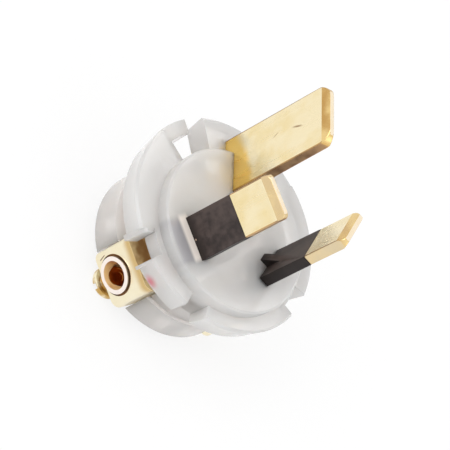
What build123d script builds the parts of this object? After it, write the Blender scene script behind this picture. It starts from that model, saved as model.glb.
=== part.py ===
import os
from math import cos, radians, sin

from build123d import *

os.makedirs("parts", exist_ok=True)

# Electrical plug insert with three flat pins, 15 A pattern. Millimetres.
# +Z points along the pins, the face that meets the socket is z = 0,
# the origin is the centre of the pin pattern and +Y points at the earth pin.

# Active and neutral pins
pin_circle_r = 7.92      # pin centre to pattern centre
pin_turn = 30.0          # active and neutral sit this far below the X axis
pin_w = 6.35             # wide side of the section
pin_t = 1.63             # thin side of the section
pin_len = 17.06          # face to tip
pin_tip_flat = 0.75      # thickness left at the very tip
pin_tip_len = 1.25       # length of the chamfer towards the tip
pin_tip_corner = 0.9     # rounding of the two tip corners
pin_core_w = 5.45        # narrowed core that carries the sleeve
pin_core_t = 0.95

# Earth pin: wider, longer, its wide side along Y
earth_circle_r = 10.31
earth_w = 9.08
earth_len = 19.94
earth_tip_len = 1.3
earth_tip_corner = 1.9
earth_stub_w = 2.9       # tail that goes into the terminal

# Shoulders that stop the pins behind the face
shoulder_over = 0.65     # how far a shoulder stands past the pin on each side
shoulder_h = 1.4
stub_depth = 6.0         # how deep a tail sits in its terminal

# Insulating sleeves
sleeve_len = 9.2         # out of the face
sleeve_rib_w = 1.5       # small tapered rib at the foot, on the side of the centre
sleeve_rib_out = 1.5
sleeve_rib_h = 3.0

# Face plate: a round plateau about the pins on a wider, offset flange
plateau_r = 12.5
plateau_shift = 0.2      # plateau centre is this far away from the earth pin
plateau_h = 2.0
plateau_edge = 0.3
flange_r = 16.5
flange_shift = 1.65      # flange centre is this far towards the earth pin
flange_draft = 0.7       # the flange is this much smaller in radius at its rear edge
flange_edge = 0.4
plate_under = 3.5        # depth of the underside of the plate below the face
wall_t = 2.3             # outer wall of the flange at its front
wall_depth = 6.0         # rear edge of that wall below the face
guide_depth = 5.6        # rear end of the guides round active and neutral
guide_wall = 1.0

# Openings in the flange as (start, end) angles about the pattern centre
top_gap = (107.2, 117.8)     # open end of the latch finger
top_latch = (117.8, 134.6)   # window below the latch finger
latch_drop = 0.5             # the finger lies this far below the flange
active_gap = (196.4, 213.7)  # in front of the active terminal
neutral_gap = (325.0, 342.3)
cord_gap = (243.0, 256.5)    # single opening near the bottom

# Rear housing
body_r = 12.95
body_shift = 2.0         # housing centre towards the earth pin
body_top = 11.5          # where the wide part of the housing begins below the face
body_depth = 16.9
body_bevel = 0.4
neck_r = 11.0            # narrower part between the plate and the wide part
neck_shift = 0.5
core_r = 3.6             # pocket in the middle, open at the rear
side_core_r = 1.7        # three pockets between the chambers
side_core_at = 7.4
core_top = 6.0

# Terminals: one block with a wire bore and a clamp screw per pin
term_w = 8.5
term_top = 8.0
term_h = 7.9
term_out = 13.0          # outer face of the active terminal from the pattern centre
term_out_other = 11.8    # the same for neutral and earth, which end further in
term_wall = 1.0          # metal behind the tail of the pin
term_round = 1.3         # rounded upright corners of the outer face
bore_r = 2.1
bore_depth_below = 13.0  # bore axis below the face
bore_lip_r = 2.75        # raised lip round the mouth of the bore
bore_lip_h = 0.35
bore_lip_groove = 0.3
screw_r = 1.75
screw_from_out = 2.35    # screw axis behind the outer face
screw_head_r = 2.4
screw_head_h = 1.3
screw_back_out = 1.4     # the screw is turned back, so its head stands off the block
screw_head_edge = 0.4
screw_slot_w = 0.9
screw_slot_depth = 1.0
screw_end_bevel = 0.2

# Clearances
fit_gap = 0.05           # pin or sleeve in its slot, screw in its thread
chamber_gap = 0.2        # terminal to the chamber walls

# Derived values
active_angle = 180.0 + pin_turn
neutral_angle = -pin_turn
earth_angle = 90.0
guide_out = pin_t / 2 + guide_wall
term_bottom = term_top + term_h
bore_floor = bore_depth_below + bore_r
head_top = term_bottom + screw_back_out
rear_end = head_top + screw_head_h
chamber_angles = (active_angle, neutral_angle, earth_angle)
side_core_angles = ((earth_angle + neutral_angle) / 2, (earth_angle + active_angle) / 2,
                    earth_angle + 180.0)


def at_angle(angle):
    """Frame whose local X points outwards at an angle about the pattern centre."""
    return Location((0, 0, 0), (0, 0, angle))


def slab(x0, x1, y0, y1, z0, z1):
    """Box between two corners."""
    return Pos((x0 + x1) / 2, (y0 + y1) / 2, (z0 + z1) / 2) * Box(x1 - x0, y1 - y0, z1 - z0)


def disc(radius, z0, z1, y=0.0, x=0.0):
    """Upright cylinder between two heights."""
    return Pos(x, y, (z0 + z1) / 2) * Cylinder(radius, z1 - z0)


def sector(start, end, radius, z0, z1):
    """Wedge about the pattern centre between two angles."""
    a, b = radians(start), radians(end)
    mid = (a + b) / 2
    far = radius / cos((b - a) / 2)
    outline = Polyline(
        (0, 0), (radius * cos(a), radius * sin(a)), (far * cos(mid), far * sin(mid)),
        (radius * cos(b), radius * sin(b)), (0, 0))
    return Pos(0, 0, z0) * extrude(make_face(outline), z1 - z0)


def blade(width, thick, z0, z1, tip_len, tip_corner):
    """Flat blade, wide along local Y, thin along local X, with a chamfered rounded tip."""
    body = slab(-thick / 2, thick / 2, -width / 2, width / 2, z0, z1)
    corners = body.edges().filter_by(Axis.X).group_by(Axis.Z)[-1]
    body = fillet(corners, tip_corner)
    # wedges take the wide faces down towards the tip
    for side in (1, -1):
        wedge = Polyline(
            (side * thick / 2, 0, z1 - tip_len), (side * thick, 0, z1 - tip_len),
            (side * thick, 0, z1), (side * pin_tip_flat / 2, 0, z1),
            (side * thick / 2, 0, z1 - tip_len))
        body -= extrude(make_face(wedge), width, both=True)
    return body


def flat_pin():
    """Active or neutral pin in its own frame, before it is moved to its place."""
    core = slab(-pin_core_t / 2, pin_core_t / 2, -pin_core_w / 2, pin_core_w / 2,
                -guide_depth, sleeve_len)
    nose = blade(pin_w, pin_t, sleeve_len, pin_len, pin_tip_len, pin_tip_corner)
    tail = slab(-pin_t / 2, pin_t / 2, -pin_w / 2, pin_w / 2,
                -term_top - stub_depth, -guide_depth)
    stop = slab(-pin_t / 2, pin_t / 2, -pin_w / 2 - shoulder_over, pin_w / 2 + shoulder_over,
                -guide_depth - shoulder_h, -guide_depth)
    return nose + core + tail + stop


def sleeve():
    """Insulating sleeve, flush with the bare end of the pin, with a rib at its foot."""
    tube = slab(-pin_t / 2, pin_t / 2, -pin_w / 2, pin_w / 2, -guide_depth, sleeve_len)
    rib = Polyline(
        (-pin_t / 2, 0, 0), (-pin_t / 2 - sleeve_rib_out, 0, 0), (-pin_t / 2, 0, sleeve_rib_h),
        (-pin_t / 2, 0, 0))
    tube += extrude(make_face(rib), sleeve_rib_w / 2, both=True)
    return tube - slab(-pin_core_t / 2, pin_core_t / 2, -pin_core_w / 2, pin_core_w / 2,
                       -guide_depth, sleeve_len)


def earth_blade():
    """Earth pin in world axes: wide along Y, with a shoulder and a narrow tail."""
    nose = blade(earth_w, pin_t, -plate_under, earth_len, earth_tip_len, earth_tip_corner)
    stop = slab(-pin_t / 2, pin_t / 2, -earth_w / 2 - shoulder_over, earth_w / 2 + shoulder_over,
                -plate_under - shoulder_h, -plate_under)
    tail = slab(-pin_t / 2, pin_t / 2, -earth_w / 2, -earth_w / 2 + earth_stub_w,
                -term_top - stub_depth, -plate_under)
    return Pos(0, earth_circle_r, 0) * (nose + stop + tail)


def terminal(out, tail_x0, tail_x1, tail_half_w):
    """Terminal block in a frame whose local X points outwards; the tail pocket opens upwards."""
    inner = tail_x0 - term_wall
    block = slab(inner, out, -term_w / 2, term_w / 2, -term_bottom, -term_top)
    corners = block.edges().filter_by(Axis.Z).group_by(Axis.X)[-1]
    block = fillet(corners, term_round)
    bore_z = -bore_depth_below
    across = Rot(0, 90, 0)
    lip = Pos(out + bore_lip_h / 2, 0, bore_z) * across * Cylinder(bore_lip_r, bore_lip_h)
    ring = Cylinder(bore_lip_r + bore_lip_groove, 2 * bore_lip_groove) - Cylinder(
        bore_lip_r, 2 * bore_lip_groove)
    block -= Pos(out, 0, bore_z) * across * ring
    block += lip
    depth = out + bore_lip_h - tail_x1
    block -= Pos(tail_x1 + depth / 2, 0, bore_z) * across * Cylinder(bore_r, depth)
    block -= slab(tail_x0 - fit_gap, tail_x1 + fit_gap, -tail_half_w - fit_gap, tail_half_w + fit_gap,
                  -term_top - stub_depth, -term_top)
    block -= disc(screw_r + fit_gap, -term_bottom, bore_z, x=out - screw_from_out)
    return block


def clamp_screw(out):
    """Slotted clamp screw, turned back until its end is clear of the bore."""
    shank = disc(screw_r, -head_top, -bore_floor - fit_gap)
    shank = chamfer(shank.edges().group_by(Axis.Z)[-1], screw_end_bevel)
    head = disc(screw_head_r, -rear_end, -head_top)
    head = chamfer(head.edges().group_by(Axis.Z)[0], screw_head_edge)
    head -= slab(-screw_head_r, screw_head_r, -screw_slot_w / 2, screw_slot_w / 2,
                 -rear_end, -rear_end + screw_slot_depth)
    return Pos(out - screw_from_out, 0, 0) * (shank + head)


def moulding():
    """The translucent insert: face plate, flange wall, guides and rear housing."""
    # plateau and flange
    plateau = disc(plateau_r, -plate_under, 0, y=-plateau_shift)
    plateau = chamfer(plateau.edges().group_by(Axis.Z)[-1], plateau_edge)
    mid_z = -(plateau_h + wall_depth) / 2
    flange = Pos(0, flange_shift, mid_z) * Cone(
        flange_r - flange_draft, flange_r, wall_depth - plateau_h)
    flange = chamfer(flange.edges().group_by(Axis.Z)[-1], flange_edge)
    hollow = disc(flange_r - wall_t, -wall_depth, -plate_under, y=flange_shift)
    flange -= hollow

    # latch openings on both sides of the earth pin
    over = 2 * flange_r
    ring = disc(over, -wall_depth, -plateau_h) - disc(
        plateau_r, -wall_depth, -plateau_h, y=-plateau_shift)
    band = ring - disc(flange_r - wall_t, -wall_depth, -plateau_h, y=flange_shift)
    inside = ring - band
    cuts = [ring & sector(*top_gap, over, -wall_depth, -plateau_h),
            inside & sector(*top_latch, over, -wall_depth, -plateau_h),
            ring & sector(*top_latch, over, -plateau_h - latch_drop, -plateau_h)]
    for cut in cuts:
        flange -= cut
        flange -= mirror(cut, Plane.YZ)
    for gap in (active_gap, neutral_gap, cord_gap):
        flange -= ring & sector(*gap, over, -wall_depth, -plateau_h)

    # solid block between the latch openings, slotted for the shoulder of the earth pin
    block = hollow & ring & sector(180.0 - top_gap[0], top_gap[0], over, -wall_depth, -plate_under)
    half_slot = pin_t / 2 + fit_gap
    block -= slab(-half_slot, half_slot, 0, earth_circle_r + earth_w / 2 + shoulder_over + fit_gap,
                  -wall_depth, -plate_under)
    plate = plateau + flange + block

    # rear housing
    neck = disc(neck_r, -body_top, -plate_under, y=neck_shift)
    wide = disc(body_r, -body_depth, -body_top, y=body_shift)
    wide = chamfer(wide.edges().group_by(Axis.Z)[0], body_bevel)
    housing = neck + wide
    housing -= disc(core_r, -body_depth, -core_top)
    for angle in side_core_angles:
        housing -= at_angle(angle) * disc(side_core_r, -body_depth, -core_top, x=side_core_at)

    # chambers for the three terminals, open outwards and to the rear
    half = term_w / 2 + chamber_gap
    reach = flange_r + flange_shift
    flat_in = pin_circle_r - pin_t / 2 - term_wall - chamber_gap
    earth_in = earth_circle_r - earth_w / 2 - term_wall - chamber_gap
    for angle, inner in zip(chamber_angles, (flat_in, flat_in, earth_in)):
        housing -= at_angle(angle) * slab(inner, reach, -half, half, -body_depth, -plate_under)
    whole = plate + housing

    # guides and slots for the sleeved pins, slot for the earth pin
    side = pin_w / 2 + guide_wall
    for angle in (active_angle, neutral_angle):
        place = at_angle(angle) * Pos(pin_circle_r, 0, 0)
        whole += place * slab(-guide_out, guide_out, -side, side, -guide_depth, -plate_under)
        whole -= place * slab(-pin_t / 2 - fit_gap, pin_t / 2 + fit_gap,
                              -pin_w / 2 - fit_gap, pin_w / 2 + fit_gap, -guide_depth, 0)
    whole -= Pos(0, earth_circle_r, 0) * slab(
        -pin_t / 2 - fit_gap, pin_t / 2 + fit_gap,
        -earth_w / 2 - fit_gap, earth_w / 2 + fit_gap, -plate_under, 0)
    return whole


def save(name, shape):
    """Write one piece under its own name."""
    shape.label = name
    export_step(shape, f"parts/{name}.step")


save("base_moulding", moulding())
save("earth_pin", earth_blade())
earth_x0 = earth_circle_r - earth_w / 2
save("earth_terminal", at_angle(earth_angle) * terminal(
    term_out_other, earth_x0, earth_x0 + earth_stub_w, pin_t / 2))
save("earth_screw", at_angle(earth_angle) * clamp_screw(term_out_other))
for pole, angle, out in (("active", active_angle, term_out), ("neutral", neutral_angle, term_out_other)):
    place = at_angle(angle)
    save(f"{pole}_pin", place * Pos(pin_circle_r, 0, 0) * flat_pin())
    save(f"{pole}_sleeve", place * Pos(pin_circle_r, 0, 0) * sleeve())
    save(f"{pole}_terminal", place * terminal(
        out, pin_circle_r - pin_t / 2, pin_circle_r + pin_t / 2, pin_w / 2))
    save(f"{pole}_screw", place * clamp_screw(out))
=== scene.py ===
from math import cos, radians, sin, sqrt, tau

import bmesh
import bpy
from mathutils import Matrix, Vector


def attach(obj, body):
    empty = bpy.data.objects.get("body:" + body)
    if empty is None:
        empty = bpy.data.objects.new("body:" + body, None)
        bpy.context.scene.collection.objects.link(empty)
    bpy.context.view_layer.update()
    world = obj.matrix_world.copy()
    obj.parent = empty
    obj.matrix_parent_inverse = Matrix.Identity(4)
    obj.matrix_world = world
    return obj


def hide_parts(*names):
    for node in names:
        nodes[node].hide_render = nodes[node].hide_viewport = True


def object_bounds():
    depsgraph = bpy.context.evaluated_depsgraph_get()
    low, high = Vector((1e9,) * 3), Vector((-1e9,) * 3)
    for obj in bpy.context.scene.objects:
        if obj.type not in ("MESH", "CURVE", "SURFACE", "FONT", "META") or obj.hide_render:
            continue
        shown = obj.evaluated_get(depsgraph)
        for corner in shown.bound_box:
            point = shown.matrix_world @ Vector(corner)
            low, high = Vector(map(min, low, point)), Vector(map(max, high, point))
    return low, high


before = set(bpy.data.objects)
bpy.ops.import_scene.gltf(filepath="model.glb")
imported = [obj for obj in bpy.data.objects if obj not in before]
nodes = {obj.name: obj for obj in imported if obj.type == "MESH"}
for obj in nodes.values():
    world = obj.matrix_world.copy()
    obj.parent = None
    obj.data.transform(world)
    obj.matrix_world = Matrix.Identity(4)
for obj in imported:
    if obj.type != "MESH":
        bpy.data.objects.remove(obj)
cad_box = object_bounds()
mm = 0.001


# Base moulding. The insert that holds everything is one moulding of unpigmented plastic, milky but part clear,
# with a finely matt mould surface. The pins are pushed in from the rear; what is buried shows faintly, here as
# painted shade.


class Socket:
    """An output in a node tree. Maths written on it adds Math nodes."""

    def __init__(self, tree, socket=None):
        self.tree = tree
        self.socket = socket

    def node(self, kind, settings=None, inputs=None, output=0):
        """Adds a node: its settings first, then the values or links of its sockets."""
        made = self.tree.nodes.new(kind)
        for name, value in (settings or {}).items():
            setattr(made, name, value)
        for name, value in (inputs or {}).items():
            if isinstance(value, Socket):
                self.tree.links.new(value.socket, made.inputs[name])
            else:
                made.inputs[name].default_value = value
        return Socket(self.tree, made.outputs[output] if made.outputs else None)

    def maths(self, operation, *values):
        """A Math node on these values, numbers or outputs."""
        return self.node("ShaderNodeMath", {"operation": operation}, dict(enumerate(values)))

    def __add__(self, other):
        return self.maths("ADD", self, other)

    def __sub__(self, other):
        return self.maths("SUBTRACT", self, other)

    def __rsub__(self, other):
        return self.maths("SUBTRACT", other, self)

    def __mul__(self, other):
        return self.maths("MULTIPLY", self, other)

    def __truediv__(self, other):
        return self.maths("DIVIDE", self, other)

    def __rtruediv__(self, other):
        return self.maths("DIVIDE", other, self)

    def __pow__(self, other):
        return self.maths("POWER", self, other)

    def __rpow__(self, other):
        return self.maths("POWER", other, self)

    def __abs__(self):
        return self.maths("ABSOLUTE", self)

    __radd__ = __add__
    __rmul__ = __mul__

    def blend(self, low, high):
        """A colour between two, with this number as the factor."""
        return self.node("ShaderNodeMix", {"data_type": "RGBA"}, {0: self, 6: low, 7: high}, 2)

    def step(self, start, end):
        """This number taken from 0 at start to 1 at end, held flat outside."""
        if start > end:
            return 1.0 - self.step(end, start)
        return self.node("ShaderNodeMapRange", {"interpolation_type": "SMOOTHSTEP"},
                         {"Value": self, "From Min": start, "From Max": end})

    def wave(self, length):
        """A wave between -1 and 1 that comes again after each length."""
        return self.maths("SINE", self * (tau / length))

    def noise(self, scale, detail):
        """A cloudy number over this place. Three numbers as the scale stretch it."""
        if isinstance(scale, tuple):
            stretched = self.node("ShaderNodeMapping", inputs={"Vector": self, "Scale": scale})
            return stretched.noise(1.0, detail)
        return self.node("ShaderNodeTexNoise", inputs={"Vector": self, "Scale": scale, "Detail": detail})

    def bump(self, strength, distance):
        """This number as a fine relief, for a Normal socket."""
        return self.node("ShaderNodeBump", inputs={"Strength": strength, "Distance": distance, "Height": self})

    def written(self, name):
        """The number written on the mesh under a name."""
        return self.node("ShaderNodeAttribute", {"attribute_name": name}, output="Fac")

    def parts(self):
        """The three numbers of a place."""
        return [self.node("ShaderNodeSeparateXYZ", inputs={"Vector": self}, output=axis) for axis in range(3)]

    def turned(self, angle):
        """A place seen in the frame of a pin: its first number runs outwards at that angle."""
        return self.node("ShaderNodeVectorRotate", {"rotation_type": "Z_AXIS"},
                         {"Vector": self, "Angle": -radians(angle)})

    def near(self, spot, inner, outer):
        """1 within the inner distance of a spot and 0 past the outer."""
        away = self.node("ShaderNodeVectorMath", {"operation": "DISTANCE"}, {0: self, 1: spot}, 1)
        return away.step(outer, inner)


def screen(red, green, blue):
    """A colour as it looks on a screen, 0 to 255, turned into the light values that nodes use."""
    values = [v / 255 for v in (red, green, blue)]
    return (*[v / 12.92 if v <= 0.04045 else ((v + 0.055) / 1.055) ** 2.4 for v in values], 1.0)


def new_finish(name):
    """A material with one surface shader, and the tree's first socket: the object's own coordinates."""
    made = bpy.data.materials.new(name)
    made.use_nodes = True
    shader = made.node_tree.nodes["Principled BSDF"]
    place = Socket(made.node_tree).node("ShaderNodeTexCoord", output="Object")
    return made, shader, place


def feed(shader, **links):
    """Links worked-out sockets to the shader's inputs."""
    for name, value in links.items():
        value.tree.links.new(value.socket, shader.inputs[name.replace("_", " ")])


def eased_copy(node, name, width, added=()):
    """A CAD piece's mesh with its doubles merged, its flat faces joined and its corners rounded.

    The added objects are joined to it before its corners are rounded."""
    same_point = 0.002 * mm
    flat = radians(0.5)
    corner = radians(30.0)
    shape = bmesh.new()
    shape.from_mesh(nodes[node].data)
    bmesh.ops.remove_doubles(shape, verts=shape.verts, dist=same_point)
    bmesh.ops.dissolve_limit(shape, angle_limit=flat, verts=shape.verts, edges=shape.edges)
    mesh = bpy.data.meshes.new(name)
    shape.to_mesh(mesh)
    shape.free()
    for face in mesh.polygons:
        face.use_smooth = True
    mesh.set_sharp_from_angle(angle=corner)
    rough = bpy.data.objects.new(name + "_rough", mesh)
    bpy.context.scene.collection.objects.link(rough)
    for other in added:
        join = rough.modifiers.new("join", "BOOLEAN")
        join.operation = "UNION"
        join.solver = "EXACT"
        join.object = other
    bevel = rough.modifiers.new("ease", "BEVEL")
    bevel.width = width
    bevel.segments = 2
    bevel.limit_method = "ANGLE"
    bevel.angle_limit = corner
    bevel.harden_normals = True
    bpy.context.view_layer.update()
    done = bpy.data.meshes.new_from_object(rough.evaluated_get(bpy.context.evaluated_depsgraph_get()))
    for spent in (rough, *added):
        bpy.data.objects.remove(spent)
    done.name = name
    piece = bpy.data.objects.new(name, done)
    bpy.context.scene.collection.objects.link(piece)
    return piece


def dress(piece, finish, slot, *cad_nodes):
    """Gives a piece its finish and lets it stand for its CAD nodes."""
    piece.data.materials.clear()
    piece.data.materials.append(finish)
    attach(piece, "root")
    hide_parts(*cad_nodes)


def ring_block(name, outline, start, end):
    """A closed block between two angles in degrees, from an outline in three numbers for each corner.

    They are the corner's radius, the place of that radius's centre along Y, and its height."""
    steps = 6
    corners = []
    for step in range(steps + 1):
        angle = radians(start + (end - start) * step / steps)
        for radius, centre, level in outline:
            reach = centre * sin(angle) + sqrt(radius ** 2 - (centre * cos(angle)) ** 2)
            corners.append((reach * cos(angle), reach * sin(angle), level))
    count = len(outline)
    faces = [tuple(range(count))[::-1], tuple(range(steps * count, (steps + 1) * count))]
    for step in range(steps):
        for corner in range(count):
            follow = (corner + 1) % count
            here, there = step * count, (step + 1) * count
            faces.append((here + corner, here + follow, there + follow, there + corner))
    mesh = bpy.data.meshes.new(name)
    mesh.from_pydata(corners, [], faces)
    shape = bmesh.new()
    shape.from_mesh(mesh)
    bmesh.ops.recalc_face_normals(shape, faces=shape.faces)
    shape.to_mesh(mesh)
    shape.free()
    block = bpy.data.objects.new(name, mesh)
    bpy.context.scene.collection.objects.link(block)
    return block


pole_angle = {"earth": 90.0, "active": 210.0, "neutral": 330.0}
moulding_ease = 0.2 * mm
flange_r = 16.49 * mm
flange_draft = 0.7 * mm
flange_edge = 0.4 * mm
flange_shift = 1.65 * mm
wall_in = 14.2 * mm
face_level = -2.0 * mm
wall_foot = -5.99 * mm
notch_r = 13.55 * mm
notch_foot = -4.4 * mm
under_plate = 11.9 * mm
under_face = face_level - 0.01 * mm
notch_back = [(under_plate, 0.0, notch_foot), (notch_r, 0.0, notch_foot), (notch_r, 0.0, face_level),
              (under_plate, 0.0, face_level)]
wall_end = [(wall_in, flange_shift, wall_foot), (flange_r, flange_shift, wall_foot),
            (flange_r - flange_draft, flange_shift, face_level - flange_edge),
            (flange_r - flange_draft - flange_edge, flange_shift, under_face),
            (wall_in, flange_shift, under_face)]
latch_land = [(under_plate, 0.0, wall_foot), *wall_end[1:4], (under_plate, 0.0, under_face)]
glow_spot = (-1.0 * mm, 8.5 * mm, -1.0 * mm)
rub_spot = (-11.1 * mm, -10.5 * mm, -5.5 * mm)
milky, milky_shader, place = new_finish("milky_moulding")
height = place.parts()[2]
clouds = place.noise(110.0, 3.0)
grain = place.noise(2600.0, 2.0)
out, side = place.turned(pole_angle["active"]).parts()[:2]
beside_pin = (side.step(-4.2 * mm, -3.0 * mm) * side.step(3.6 * mm, 2.6 * mm)
              * height.step(-2.4 * mm, -1.6 * mm))
# Painted shade: a grey-lavender patch on the moulding beside the active pin, standing for its buried part seen
# through the plastic.
buried_pin_shade = beside_pin * out.step(9.7 * mm, 10.3 * mm) * out.step(12.7 * mm, 11.9 * mm)
even = clouds.blend(screen(240, 237, 234), screen(246, 243, 241))
rear = height.step(-5.6 * mm, -7.0 * mm).blend(even, screen(243, 235, 230))
# Painted light: a warm glow of the earth pin's brass, painted into the plastic round its foot.
brass_glow = place.near(glow_spot, 1.0 * mm, 6.5 * mm) * 0.4
warm = brass_glow.blend(rear, screen(243, 229, 214))
shaded = (buried_pin_shade * 0.75).blend(warm, screen(196, 194, 200))
wire_rub = place.near(rub_spot, 0.2 * mm, 1.8 * mm)
milky_shader.inputs["IOR"].default_value = 1.49
milky_shader.inputs["Transmission Weight"].default_value = 0.42
milky_shader.inputs["Subsurface Weight"].default_value = 1.0
milky_shader.inputs["Subsurface Radius"].default_value = (1.0, 0.95, 0.92)
milky_shader.inputs["Subsurface Scale"].default_value = 7.0 * mm
feed(milky_shader,
     Base_Color=wire_rub.blend(shaded, screen(250, 70, 105)),
     Roughness=clouds * 0.06 + 0.12,
     Normal=grain.bump(0.06, 0.05 * mm))
# Painted light: a paler opaque shader, mixed in round the active pin's foot, lifts the shade that the sleeve
# casts there.
foot_light_shader = Socket(milky.node_tree).node("ShaderNodeBsdfPrincipled", inputs={
    "Base Color": screen(250, 240, 230), "Roughness": 0.3})
at_foot = beside_pin * out.step(8.2 * mm, 8.6 * mm) * out.step(10.4 * mm, 9.7 * mm)
surface = place.node("ShaderNodeMixShader", inputs={
    0: at_foot * 0.8, 1: Socket(milky.node_tree, milky_shader.outputs[0]), 2: foot_light_shader})
milky.node_tree.links.new(surface.socket, milky.node_tree.nodes["Material Output"].inputs["Surface"])
notch_forms = [
    ring_block("active_notch_back", notch_back, 195.5, 214.5),
    ring_block("neutral_notch_back", notch_back, 324.0, 343.0),
    ring_block("latch_land", latch_land, 44.5, 55.0),
    ring_block("active_wall_end_1", wall_end, 195.6, 198.6),
    ring_block("active_wall_end_2", wall_end, 212.7, 214.5)]
moulding = eased_copy("base_moulding", "moulding_body", moulding_ease, added=notch_forms)
dress(moulding, milky, "clear_moulding", "base_moulding")


# Pins. Each is a flat blade blanked from rolled brass, with a chamfered tip and lightly broken edges. The earth
# pin is the wide one. The other two are narrowed where their sleeves sit. All three are pushed in from behind.


def grade(piece, name, number):
    """Writes a number on each face, worked out from its middle and its direction, for a finish to read."""
    values = piece.data.attributes.new(name, "FLOAT", "FACE").data
    for face in piece.data.polygons:
        values[face.index].value = number(face.center, face.normal)


def widthways(pole):
    """The direction in which a pole's blade is wide: outwards for earth, and across that for the others."""
    turn = 0.0 if pole == "earth" else pole_angle[pole]
    return Matrix.Rotation(radians(turn), 3, "Z") @ Vector((0, 1, 0))


def press_in(piece, angle, middle, half_out, half_side):
    """Lets the buried part of a pin or sleeve grip the plastic, with no film of air between."""
    inwards = Matrix.Rotation(-radians(angle), 4, "Z")
    buried_from = -0.2 * mm
    at_face = 0.15 * mm
    grip = 0.08 * mm
    for point in piece.data.vertices:
        if point.co.z < buried_from:
            spot = inwards @ point.co
            out, side = spot.x - middle, spot.y
            if abs(out) > half_out - at_face:
                spot.x += grip if out > 0 else -grip
            if abs(side) > half_side - at_face:
                spot.y += grip if side > 0 else -grip
            point.co = inwards.inverted() @ spot


pin_ease = 0.18 * mm
earth_middle = 10.31 * mm
half_thick = 0.815 * mm
half_earth = 4.54 * mm
square_on = 0.9
slanted = 0.2
tip_from = 10.0 * mm
# How strongly painted shade darkens the narrow cut edges of each pin.
edge_shade = {"earth": 0.95, "active": 0.8, "neutral": 0.3}
# How strongly painted shade darkens each pin's tip chamfer.
chamfer_shade = {"earth": 0.95, "active": 0.5, "neutral": 0.7}
foot_slope = 0.44
foot_blotch = 3.0 * mm
dash_spot = (-0.82 * mm, 10.55 * mm, 13.7 * mm)
dash_slope, dash_from = 0.27, 14.25 * mm
scratch_spot = (-0.82 * mm, 11.1 * mm, 9.1 * mm)
scratch_slope, scratch_from = -0.41, 7.36 * mm
bright, bright_shader, place = new_finish("pin_brass")
north, height = place.parts()[1:]
streaks = place.noise((900.0, 900.0, 90.0), 4.0)
tarnish = place.noise(260.0, 5.0)
polished = (tarnish.step(0.35, 0.75) * 0.6 + streaks * 0.4).blend(screen(250, 237, 202), screen(240, 218, 160))
on_earth = north.step(5.0 * mm, 5.4 * mm)
foot_line = height + (north - 5.8 * mm) * foot_slope + tarnish * foot_blotch
foot = foot_line.step(7.0 * mm, 5.4 * mm) * on_earth
golden = (foot * 0.9).blend(polished, streaks.blend(screen(250, 214, 118), screen(238, 192, 84)))
dash_along = place.near(dash_spot, 0.1 * mm, 1.5 * mm)
dash_line = abs(north + height * dash_slope - dash_from).step(0.22 * mm, 0.06 * mm)
scratch_along = place.near(scratch_spot, 0.1 * mm, 0.9 * mm)
scratch_line = abs(north + height * scratch_slope - scratch_from).step(0.12 * mm, 0.03 * mm)
marks = dash_along * dash_line * 0.75 + scratch_along * scratch_line * 0.6
marked = marks.blend(golden, screen(140, 96, 50))
cut_edge = place.written("cut_edge")
patches = tarnish.step(0.38, 0.62)
# Painted shade: the narrow cut edges are darkened to a mottled brown, by a strength set for each pin.
cut_edge_shaded = cut_edge.blend(marked, patches.blend(screen(150, 110, 78), screen(206, 168, 128)))
# Painted shade: a dark brown line on the slanted rounded corners between the faces of each blade.
lined = (place.written("edge_line_shade") * 0.85).blend(cut_edge_shaded, patches.blend(screen(132, 84, 34), screen(190, 142, 78)))
# Painted shade: the sloped faces of the tip are a darker gold-brown, by a strength set for each pin.
sloped = place.written("chamfer").blend(lined, patches.blend(screen(196, 152, 84), screen(236, 204, 138)))
# Painted highlight: the upward end face at each pin's tip is near white.
tip_highlighted = place.written("tip_end").blend(sloped, streaks.blend(screen(255, 244, 222), screen(246, 224, 188)))
# Painted shade: the pin's tail inside the body is darker amber.
tail = height.step(-3.0 * mm, -6.0 * mm) * 0.8
bright_shader.inputs["Metallic"].default_value = 1.0
feed(bright_shader,
     Base_Color=tail.blend(tip_highlighted, screen(214, 150, 84)),
     Roughness=streaks * 0.12 + cut_edge * 0.2 + 0.2,
     Normal=streaks.bump(0.12, 0.02 * mm))
for pole, angle in pole_angle.items():
    blade = eased_copy(f"{pole}_pin", f"{pole}_pin_blade", pin_ease)
    wide = widthways(pole)
    grade(blade, "cut_edge", lambda middle, facing: edge_shade[pole] * (abs(facing.dot(wide)) > square_on))
    grade(blade, "edge_line_shade", lambda middle, facing: float(
        slanted < abs(facing.dot(wide)) < square_on and facing.z < slanted))
    grade(blade, "chamfer", lambda middle, facing: chamfer_shade[pole] * (slanted < facing.z < square_on))
    grade(blade, "tip_end", lambda middle, facing: float(facing.z > square_on and middle.z > tip_from))
    if pole == "earth":
        press_in(blade, angle, earth_middle, half_earth, half_thick)
    dress(blade, bright, "pin_brass", f"{pole}_pin")


# Sleeves. Black plastic moulded round the narrowed part of the active and neutral pins, flush with the bare
# brass, with a small tapered rib at the foot.

sleeve_ease = 0.08 * mm
sleeve_middle = 7.92 * mm
half_sleeve = 3.175 * mm
speck_spot = (-7.46 * mm, -4.54 * mm, 0.33 * mm)
black, black_shader, place = new_finish("black_sleeve")
height = place.parts()[2]
grain = place.noise(900.0, 4.0)
drawn = place.noise((500.0, 500.0, 60.0), 3.0)
worn = (grain * 0.5 + drawn * 0.5).step(0.36, 0.64).blend(screen(40, 31, 29), screen(74, 62, 58))
# Painted shade: each sleeve darkens to near black towards its foot, where it meets the plateau.
foot_shade = (height.step(2.2 * mm, 0.2 * mm) * 0.85).blend(worn, screen(24, 14, 12))
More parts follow.
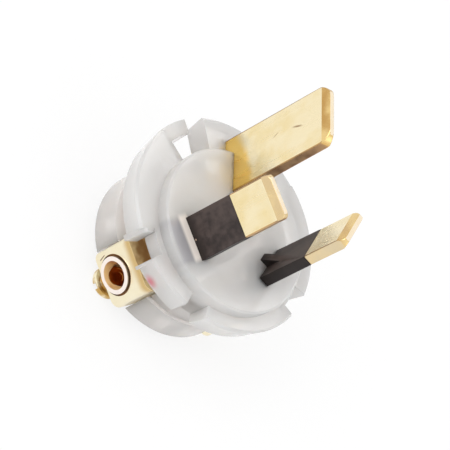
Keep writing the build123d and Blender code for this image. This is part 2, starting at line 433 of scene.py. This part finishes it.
# Painted shade: the narrow faces of each sleeve are darker than the wide ones.
side_shade = (place.written("narrow_face") * 0.8).blend(foot_shade, screen(20, 12, 10))
speck = place.near(speck_spot, 0.08 * mm, 0.2 * mm)
black_shader.inputs["Specular IOR Level"].default_value = 0.3
feed(black_shader,
     Base_Color=speck.blend(side_shade, screen(176, 150, 130)),
     Roughness=grain * 0.2 + 0.34,
     Normal=grain.bump(0.25, 0.04 * mm))
for pole in ("active", "neutral"):
    tube = eased_copy(f"{pole}_sleeve", f"{pole}_sleeve_tube", sleeve_ease)
    wide = widthways(pole)
    grade(tube, "narrow_face", lambda middle, facing: float(abs(facing.dot(wide)) > 0.8))
    press_in(tube, pole_angle[pole], sleeve_middle, half_thick, half_sleeve)
    dress(tube, black, "black_sleeve", f"{pole}_sleeve")


# Terminals. Pale brass blocks, bored for the wire from the side and tapped for the clamp screw from the rear,
# each staked on the tail of its pin.


def note_own_place(piece, angle, origin):
    """Writes on each point its place in the piece's own frame, where the first number runs outwards."""
    inwards = Matrix.Rotation(-radians(angle), 3, "Z")
    places = piece.data.attributes.new("own_place", "FLOAT_VECTOR", "POINT").data
    for point in piece.data.vertices:
        places[point.index].vector = inwards @ point.co - origin


def own_place(place):
    """The three numbers of that place, read in a material."""
    return place.node("ShaderNodeAttribute", {"attribute_name": "own_place"}, output="Vector").parts()


block_ease = 0.22 * mm
block_out = {"earth": 11.8 * mm, "active": 13.0 * mm, "neutral": 11.8 * mm}
bore_r = 2.1 * mm
bore_height = -13.0 * mm
lip_r = 2.75 * mm
lip_h = 0.35 * mm
groove_w = 0.3 * mm
block_top = -8.0 * mm
thread_pitch = 0.7 * mm
thread_lean = 0.3
tap_r = 1.8 * mm
screw_behind = 2.35 * mm
slash_spot = (-12.8 * mm, -3.83 * mm, -14.4 * mm)
slash_slope, slash_from = 0.363, -3.59 * mm
pale, pale_shader, place = new_finish("terminal_brass")
cloud = place.noise(300.0, 4.0)
streaky_noise = place.noise((250.0, 250.0, 1500.0), 3.0)
past_face, side, level = own_place(place)
off_axis = (side * side + level * level) ** 0.5
in_bore = (off_axis.step(bore_r + 0.08 * mm, bore_r + 0.03 * mm)
           * past_face.step(lip_h - 0.01 * mm, lip_h - 0.06 * mm))
on_lip = past_face.step(0.1 * mm, 0.2 * mm) * (1.0 - in_bore)
in_groove = (off_axis.step(lip_r - 0.02 * mm, lip_r + 0.02 * mm) * past_face.step(-0.02 * mm, -0.08 * mm)
             * off_axis.step(lip_r + groove_w + 0.04 * mm, lip_r + groove_w))
upper = level.step(block_top - bore_height - 0.12 * mm, block_top - bore_height - 0.03 * mm)
slash_line = abs(side + level * slash_slope - slash_from).step(0.12 * mm, 0.05 * mm)
slash = slash_line * place.near(slash_spot, 0.5 * mm, 0.75 * mm)
satin = cloud.blend(screen(253, 246, 222), screen(243, 228, 190))
# Painted shade: the outer face darkens towards the block's rounded top edge, where it turns away from the
# light.
rounded = level.step(3.2 * mm, 4.6 * mm).blend(satin, screen(214, 184, 128))
scuffed = (slash * 0.85).blend(rounded, screen(96, 64, 40))
# Painted shade: the block's top face, under the flange, is dark brown with pale streaks.
top_face_shade = upper.blend(scuffed, streaky_noise.step(0.36, 0.62).blend(screen(176, 132, 78), screen(252, 226, 168)))
# Painted highlight: the lip round the bore is near white. Painted shade: the groove round the lip is dark
# brown.
lip_light_groove_shade = in_groove.blend(on_lip.blend(top_face_shade, screen(255, 244, 236)), screen(120, 80, 46))
off_tap = ((past_face + screw_behind) ** 2.0 + side * side) ** 0.5
tapped = off_tap.step(tap_r + 0.12 * mm, tap_r + 0.06 * mm) * level.step(-1.0 * mm, -1.2 * mm)
# Painted light and shade: the thread of the tapped hole is painted as lit crests and dark roots, and as lit
# crests on the bore's upper wall.
ridge = (level + past_face * thread_lean).wave(thread_pitch).step(-0.1, 0.6)
upper_wall = off_axis.step(bore_r - 0.1 * mm, bore_r) * level.step(0.1 * mm, 0.6 * mm)
# Painted light and shade: the bore's lower wall is pale and its upper wall darker amber, with patches of
# tarnish.
bore_light_and_shade = level.step(0.2 * mm, -1.3 * mm).blend(screen(206, 132, 66), screen(255, 222, 160))
thread_light_and_shade = ridge.blend(screen(150, 88, 36), screen(255, 240, 200))
bore_tarnish_and_shade = cloud.step(0.25, 0.5).blend(screen(176, 108, 50), bore_light_and_shade)
bore_wall_lit_ridges = (upper_wall * ridge).blend(bore_tarnish_and_shade, screen(255, 240, 200))
# Where shade is painted, in the bore, on the tapped wall and on the top face, the brass is made far less
# metallic.
shadowed = place.maths("MINIMUM", in_bore + tapped + upper, 1.0)
feed(pale_shader,
     Base_Color=tapped.blend(in_bore.blend(lip_light_groove_shade, bore_wall_lit_ridges), thread_light_and_shade),
     Metallic=1.0 - shadowed * 0.85,
     Roughness=cloud * 0.15 + 0.26,
     Normal=cloud.bump(0.1, 0.03 * mm))
for pole, angle in pole_angle.items():
    block = eased_copy(f"{pole}_terminal", f"{pole}_block", block_ease)
    note_own_place(block, angle, Vector((block_out[pole], 0.0, bore_height)))
    dress(block, pale, "terminal_brass", f"{pole}_terminal")


# Clamp screws. Turned brass screws with a slotted head, one up into each terminal from the rear, turned back so
# far that only the end of the thread is still in the block. The thread shows between the block and the head.


def thread_tree(length, foot_at):
    """Nodes that cut a thread into an upright rod, whose radius falls and rises along a helix."""
    tree = bpy.data.node_groups.new("clamp_thread", "GeometryNodeTree")
    tree.is_modifier = True
    sizes = {"Radius": shank_r, "Depth": thread_depth, "Pitch": thread_pitch, "Length": length, "Axis Out": 0.0}
    for name, size in sizes.items():
        socket = tree.interface.new_socket(name, in_out="INPUT", socket_type="NodeSocketFloat")
        socket.default_value = size
    tree.interface.new_socket("Finish", in_out="INPUT", socket_type="NodeSocketMaterial")
    tree.interface.new_socket("Geometry", in_out="OUTPUT", socket_type="NodeSocketGeometry")
    start = Socket(tree)
    given = start.node("NodeGroupInput").socket.node.outputs
    radius, depth, pitch, long, axis_out, finish = [Socket(tree, given[i]) for i in range(6)]
    rod = start.node("GeometryNodeMeshCylinder", inputs={
        "Vertices": 48, "Side Segments": 30, "Radius": radius, "Depth": long})
    across, along, up = start.node("GeometryNodeInputPosition").parts()
    turn = across.maths("ARCTAN2", along, across) / tau
    climb = across.maths("FRACT", up / pitch - turn)
    valley = abs(climb * 2.0 - 1.0)
    pull = valley * depth / radius * -1.0
    cut = rod.node("GeometryNodeSetPosition", inputs={
        "Geometry": rod,
        "Offset": start.node("ShaderNodeCombineXYZ", inputs={"X": across * pull, "Y": along * pull})})
    placed = cut.node("GeometryNodeTransform", inputs={
        "Geometry": cut,
        "Translation": start.node("ShaderNodeCombineXYZ", inputs={"X": axis_out, "Z": long * 0.5 + foot_at})})
    real = placed.node("GeometryNodeRealizeInstances", inputs={"Geometry": placed})
    done = real.node("GeometryNodeSetMaterial", inputs={"Geometry": real, "Material": finish})
    done.node("NodeGroupOutput", inputs={"Geometry": done})
    return tree


def grown(name, tree, **sizes):
    """The plain mesh that a node tree makes, with some of its named inputs changed."""
    holder = bpy.data.objects.new(name + "_nodes", bpy.data.meshes.new(name + "_nodes"))
    bpy.context.scene.collection.objects.link(holder)
    maker = holder.modifiers.new(name, "NODES")
    maker.node_group = tree
    for socket in tree.interface.items_tree:
        if socket.in_out == "INPUT" and socket.name.replace(" ", "_") in sizes:
            maker[socket.identifier] = sizes[socket.name.replace(" ", "_")]
    bpy.context.view_layer.update()
    mesh = bpy.data.meshes.new_from_object(holder.evaluated_get(bpy.context.evaluated_depsgraph_get()))
    bpy.data.objects.remove(holder)
    return mesh


screw_ease = 0.12 * mm
shank_r = 1.75 * mm
thread_depth = 0.3 * mm
lit_arc_pitch = 0.55 * mm
lit_arc_lean = 0.1
overlap = 0.1 * mm
head_top = -17.3 * mm
thread_end = -15.15 * mm
turned, turned_shader, place = new_finish("screw_brass")
height = place.parts()[2]
cloud = place.noise(500.0, 4.0)
past_axis, side, level = own_place(place)
off_axis = (past_axis * past_axis + side * side) ** 0.5
on_end = level.step(-0.06 * mm, -0.02 * mm)
# Painted highlights: pale arcs across one half of the screw's end, standing for lit ridges.
lit_end_arcs = (off_axis + past_axis * lit_arc_lean).wave(lit_arc_pitch).step(0.1, 0.8)
lit_end_arcs = lit_end_arcs * past_axis.step(-0.1 * mm, -0.7 * mm)
# Painted shade: the screw's end, deep below the bore, is darker amber and mottled.
end_shade = cloud.step(0.35, 0.6).blend(screen(134, 74, 30), screen(196, 126, 62))
end_highlights = lit_end_arcs.blend(end_shade, screen(255, 226, 166))
plain = cloud.step(0.4, 0.62).blend(screen(252, 242, 210), screen(206, 168, 100))
# Painted shade: the thread seen in the gap between the block and the head is dark brown.
gap_shade = cloud.step(0.4, 0.6).blend(screen(70, 42, 16), screen(176, 132, 66))
above_head = height.step(head_top - 0.05 * mm, head_top + 0.1 * mm)
below_end = height.step(thread_end - 0.25 * mm, thread_end - 0.45 * mm)
in_gap = above_head * below_end * 0.95
turned_shader.inputs["Metallic"].default_value = 1.0
feed(turned_shader,
     Base_Color=on_end.blend(in_gap.blend(plain, gap_shade), end_highlights),
     Roughness=cloud * 0.15 + 0.25)
helix = thread_tree(thread_end - head_top + overlap, head_top - overlap)
for pole, angle in pole_angle.items():
    screw = eased_copy(f"{pole}_screw", f"{pole}_clamp_screw", screw_ease)
    whole = bmesh.new()
    whole.from_mesh(screw.data)
    shank = [face for face in whole.faces if face.calc_center_median().z > head_top + 0.02 * mm]
    bmesh.ops.delete(whole, geom=shank, context="FACES")
    bmesh.ops.holes_fill(whole, edges=whole.edges, sides=0)
    thread = grown(f"{pole}_thread", helix, Axis_Out=block_out[pole] - screw_behind, Finish=turned)
    thread.transform(Matrix.Rotation(radians(angle), 4, "Z"))
    whole.from_mesh(thread)
    whole.to_mesh(screw.data)
    whole.free()
    for face in screw.data.polygons:
        face.use_smooth = True
    screw.data.set_sharp_from_angle(angle=radians(40.0))
    note_own_place(screw, angle, Vector((block_out[pole] - screw_behind, 0.0, thread_end)))
    dress(screw, turned, "screw_brass", f"{pole}_screw")


# Floor. A plain pale board that the plug stands on, on its three screw heads. It keeps the soft shadow, and
# looks white to the camera and in what the metal and the plastic show of it.

floor_half = 1.5
floor_mesh = bpy.data.meshes.new("floor")
low = cad_box[0][2]
floor_mesh.from_pydata([(-floor_half, -floor_half, low), (floor_half, -floor_half, low),
                        (floor_half, floor_half, low), (-floor_half, floor_half, low)], [], [(0, 1, 2, 3)])
floor = bpy.data.objects.new("floor", floor_mesh)
bpy.context.scene.collection.objects.link(floor)
board = bpy.data.materials.new("pale_floor")
board.use_nodes = True
board.node_tree.nodes.clear()
rays = Socket(board.node_tree).node("ShaderNodeLightPath", output="Is Camera Ray")
glossy = rays.node("ShaderNodeLightPath", output="Is Glossy Ray")
through = rays.node("ShaderNodeLightPath", output="Is Transmission Ray")
glow_share = 0.8
seen = rays.maths("MINIMUM", rays + glossy + through, 1.0) * glow_share
pale_grey = (0.9, 0.9, 0.9, 1.0)
white = (1.0, 1.0, 1.0, 1.0)
paint = rays.node("ShaderNodeBsdfDiffuse", inputs={"Color": pale_grey})
glow = rays.node("ShaderNodeEmission", inputs={"Color": white, "Strength": 1.0})
rays.node("ShaderNodeOutputMaterial", inputs={
    "Surface": rays.node("ShaderNodeMixShader", inputs={0: seen, 1: paint, 2: glow})})
floor_mesh.materials.append(board)


# Light. A pale room that is white to the camera too, with one large soft lamp high on the camera's left and a
# weaker one on its right.

lamp_side = 0.3
world = bpy.data.worlds.new("pale_room")
bpy.context.scene.world = world
world.use_nodes = True
world.node_tree.nodes.clear()
room = Socket(world.node_tree).node("ShaderNodeBackground", inputs={"Color": white, "Strength": 1.0})
room.node("ShaderNodeOutputWorld", inputs={"Surface": room})


def lamp(name, place, watts):
    """A square soft lamp that points at the plug."""
    light = bpy.data.lights.new(name, "AREA")
    light.size = lamp_side
    light.energy = watts
    holder = bpy.data.objects.new(name, light)
    towards_plug = (-Vector(place)).to_track_quat("-Z", "Y").to_matrix().to_4x4()
    holder.matrix_world = Matrix.Translation(place) @ towards_plug
    bpy.context.scene.collection.objects.link(holder)


lamp("key_lamp", (-0.35, 0.05, 0.35), 0.6)
lamp("fill_lamp", (0.2, -0.35, 0.25), 0.2)


# Camera. It looks down on the plug over the active pin and is rolled, so that the pins point up to the right.
# Its long lens keeps the edges of the pins nearly parallel.

camera_place = Vector((-143.93, -118.18, 175.24)) * mm
camera_aim = Vector((-1.306, 0.495, -1.043)) * mm
camera_roll = radians(62.07)
camera = bpy.data.objects.new("camera", bpy.data.cameras.new("camera"))
camera.data.sensor_width = 36.0
camera.data.lens = 144.0
camera.data.clip_start = 0.01
camera.data.clip_end = 10.0
camera.matrix_world = (Matrix.Translation(camera_place)
                       @ (camera_aim - camera_place).to_track_quat("-Z", "Y").to_matrix().to_4x4()
                       @ Matrix.Rotation(camera_roll, 4, "Z"))
bpy.context.scene.collection.objects.link(camera)
bpy.context.scene.camera = camera
bpy.context.scene.view_settings.view_transform = "Standard"
